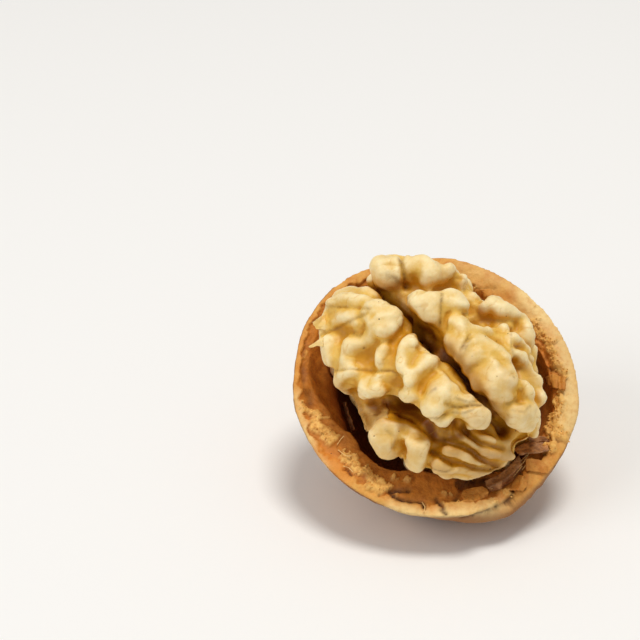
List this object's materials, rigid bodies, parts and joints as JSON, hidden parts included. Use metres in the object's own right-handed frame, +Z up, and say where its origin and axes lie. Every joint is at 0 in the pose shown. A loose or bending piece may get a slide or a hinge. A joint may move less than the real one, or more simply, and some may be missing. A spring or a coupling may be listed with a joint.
{
  "type": "opened walnut",
  "caption": "Half of a walnut shell, lying tilted on its furrowed back, with the whole folded kernel still seated in it.",
  "frame": {"origin": "on the surface that the nut lies on, under the middle of its box", "axes": "+Z up; the open side faces -Y and up, and +X runs to the right of that view"},
  "size_m": [0.0378, 0.0342, 0.0327],
  "materials": {
    "shell": "dry, matt and furrowed, with a pale torn face along the seam",
    "kernel": "thin waxy skin over cream flesh, ochre in the hollows"
  },
  "bodies": {
    "root": {"shell": "shell", "kernel": "kernel"}
  },
  "joints": []
}
